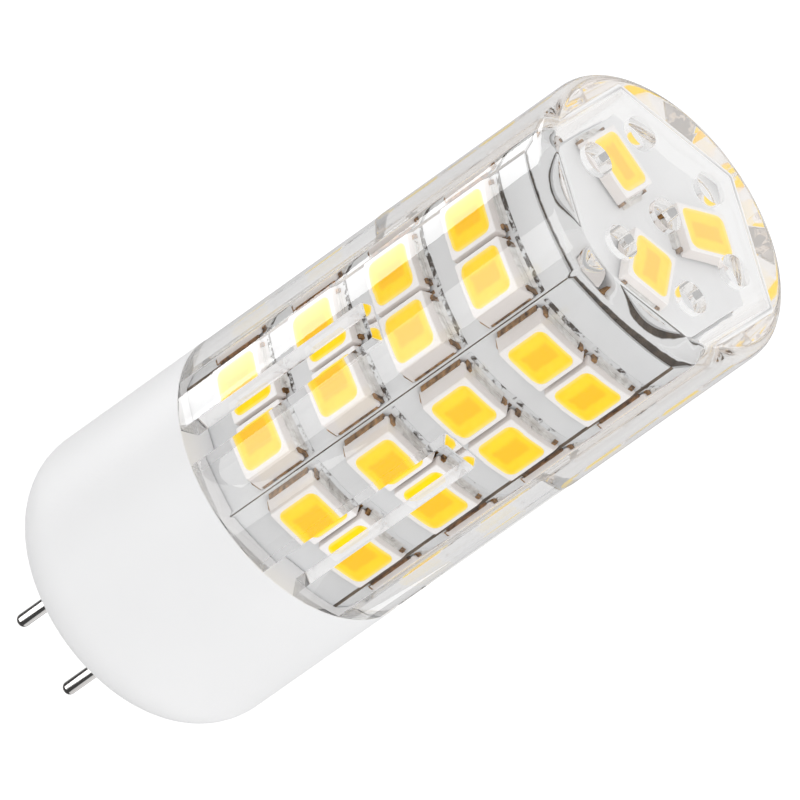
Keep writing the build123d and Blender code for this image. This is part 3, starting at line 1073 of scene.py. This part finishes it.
def hood():
    """Dome and mat that only mirrored rays meet, dark in front, so the lamps' reflections stand out."""
    bm = bmesh.new()
    bmesh.ops.create_uvsphere(bm, u_segments=48, v_segments=24, radius=HOOD_RADIUS_M)
    lowest = (PIN_BOTTOM - FLOOR_DROP + HOOD_ABOVE_FLOOR) * MM
    for corner in bm.verts:
        corner.co.z = max(corner.co.z, lowest)
    mesh = plain_mesh(bm, "hood")
    graph = Graph("hood")
    glow = graph.add("ShaderNodeEmission")
    glow.inputs["Color"].default_value = (1, 1, 1, 1)
    flat = graph.add("ShaderNodeVectorMath", operation="MULTIPLY")
    graph.join(graph.place(), flat.inputs[0])
    flat.inputs[1].default_value = (1, 1, 0)
    turn = graph.add("ShaderNodeVectorMath", operation="NORMALIZE")
    graph.join(flat.outputs[0], turn.inputs[0])
    level = graph.add("ShaderNodeMapRange")
    for name, value in zip(("From Min", "From Max", "To Min", "To Max"), HOOD_FRONT_TO_BACK):
        level.inputs[name].default_value = value
    graph.join(graph.axis(turn.outputs[0], "Y"), level.inputs["Value"])
    graph.join(level.outputs["Result"], glow.inputs["Strength"])
    graph.join(glow.outputs[0], graph.output.inputs["Surface"])
    mesh.materials.append(graph.material)
    ball = add_object("hood", mesh)
    ball.visible_camera = False
    ball.visible_diffuse = False
    ball.visible_transmission = False
    ball.visible_shadow = False
    ball.visible_volume_scatter = False


def world():
    """Light tent, brighter round the sides than overhead. It is white where it is seen or mirrored.

    What is seen through the clear plastic is a little darker, and darker still overhead, which gives the
    moulding's edges their grey lines.
    """
    surround = bpy.data.worlds.new("studio")
    bpy.context.scene.world = surround
    surround.use_nodes = True
    tree = surround.node_tree
    tree.nodes.clear()
    output = tree.nodes.new("ShaderNodeOutputWorld")
    background = tree.nodes.new("ShaderNodeBackground")
    path = tree.nodes.new("ShaderNodeLightPath")
    direction = tree.nodes.new("ShaderNodeSeparateXYZ")
    tree.links.new(tree.nodes.new("ShaderNodeTexCoord").outputs["Generated"], direction.inputs[0])

    def along(axis, low, high, start, end):
        """Level that runs from low to high as the direction's part along an axis runs from start to end."""
        level = tree.nodes.new("ShaderNodeMapRange")
        for name, value in (("From Min", start), ("From Max", end), ("To Min", low), ("To Max", high)):
            level.inputs[name].default_value = value
        tree.links.new(direction.outputs[axis], level.inputs["Value"])
        return level.outputs["Result"]

    def product(first, second):
        """Two levels, multiplied."""
        node = tree.nodes.new("ShaderNodeMath")
        node.operation = "MULTIPLY"
        tree.links.new(first, node.inputs[0])
        tree.links.new(second, node.inputs[1])
        return node.outputs[0]

    def choose(factor, first, second):
        """The second level for the rays that factor marks, and the first for the others."""
        node = tree.nodes.new("ShaderNodeMix")
        tree.links.new(factor, node.inputs[0])
        tree.links.new(first, node.inputs[2])
        if isinstance(second, float):
            node.inputs[3].default_value = second
        else:
            tree.links.new(second, node.inputs[3])
        return node.outputs[0]

    # A ray through clear plastic counts as a glossy ray as well, so its own level is chosen after that.
    tent = product(along("Z", *TENT_LIGHT), along("X", *TENT_SIDES))
    strength = choose(path.outputs["Is Glossy Ray"], tent, 1.0)
    strength = choose(path.outputs["Is Transmission Ray"], strength, along("Z", *TENT_THROUGH_PLASTIC))
    strength = choose(path.outputs["Is Camera Ray"], strength, 1.0)
    tree.links.new(strength, background.inputs["Strength"])
    tree.links.new(background.outputs[0], output.inputs["Surface"])


def lights():
    """Soft rectangular lamps, which the camera doesn't see. Each shows to one kind of ray."""
    for name, (azimuth, distance, height, aim, width, length, watts, shown) in LAMPS.items():
        data = bpy.data.lights.new(name, "AREA")
        data.shape = "RECTANGLE"
        data.size = width
        data.size_y = length
        data.energy = watts
        turn = math.radians(azimuth)
        place = Vector((distance * math.sin(turn), -distance * math.cos(turn), height))
        lamp = add_object(name, data)
        lamp.location = place
        lamp.rotation_mode = "QUATERNION"
        lamp.rotation_quaternion = (Vector((0, 0, aim)) - place).to_track_quat("-Z", "Y")
        lamp.visible_camera = False
        lamp.visible_diffuse = shown == "diffuse"
        lamp.visible_glossy = shown == "glossy"
        lamp.visible_transmission = False


def photo_camera():
    """Camera at the photograph's angle, rolled so that the bulb lies across the picture."""
    azimuth, elevation, slope = (math.radians(a) for a in (VIEW_AZIMUTH, VIEW_ELEVATION, AXIS_SLOPE))
    level = math.cos(elevation)
    back = Vector((math.sin(azimuth) * level, -math.cos(azimuth) * level, math.sin(elevation)))
    right = Vector((math.cos(azimuth), math.sin(azimuth), 0))
    up = back.cross(right)
    picture_right = math.cos(slope) * up + math.sin(slope) * right
    picture_up = math.sin(slope) * up - math.cos(slope) * right
    target = Vector((0, 0, VIEW_CENTRE_Z * MM)) - VIEW_CENTRE_LEFT * MM * right
    data = bpy.data.cameras.new("photo_camera")
    data.sensor_width = SENSOR_MM
    data.lens = PIXELS_PER_MM * SENSOR_MM * VIEW_DISTANCE_M / MM / PICTURE_PIXELS
    camera = add_object("photo_camera", data)
    turn = Matrix((picture_right, picture_up, back)).transposed().to_4x4()
    camera.matrix_world = Matrix.Translation(target + back * VIEW_DISTANCE_M) @ turn
    bpy.context.scene.camera = camera


CAD_MATERIALS = {
    "lower_board": "board",
    "driver_board": "green",
    "rectifier_diodes": "chip",
    "sense_resistors": "chip",
    "smoothing_capacitor": "ceramic",
    "driver_chip": "chip",
    "driver_chip_legs": "lead",
    "link_pin_left": "lead",
    "link_pin_right": "lead",
}


def dress_cad_nodes():
    """Procedural materials on the CAD nodes that are shown as they are."""
    for name, key in CAD_MATERIALS.items():
        nodes[name].data.materials.clear()
        nodes[name].data.materials.append(MATERIALS[key])


photo_camera()
world()
lights()
floor()
hood()
dress_cad_nodes()
base_moulding()
contact_pin("pin_left", -PIN_OFFSET, "contact_pin_left")
contact_pin("pin_right", PIN_OFFSET, "contact_pin_right")
tower()
crown()
clear_moulding()

bpy.context.scene.cycles.max_bounces = BOUNCES
bpy.context.scene.cycles.glossy_bounces = BOUNCES
bpy.context.scene.cycles.transmission_bounces = BOUNCES
bpy.context.scene.view_settings.view_transform = "Standard"
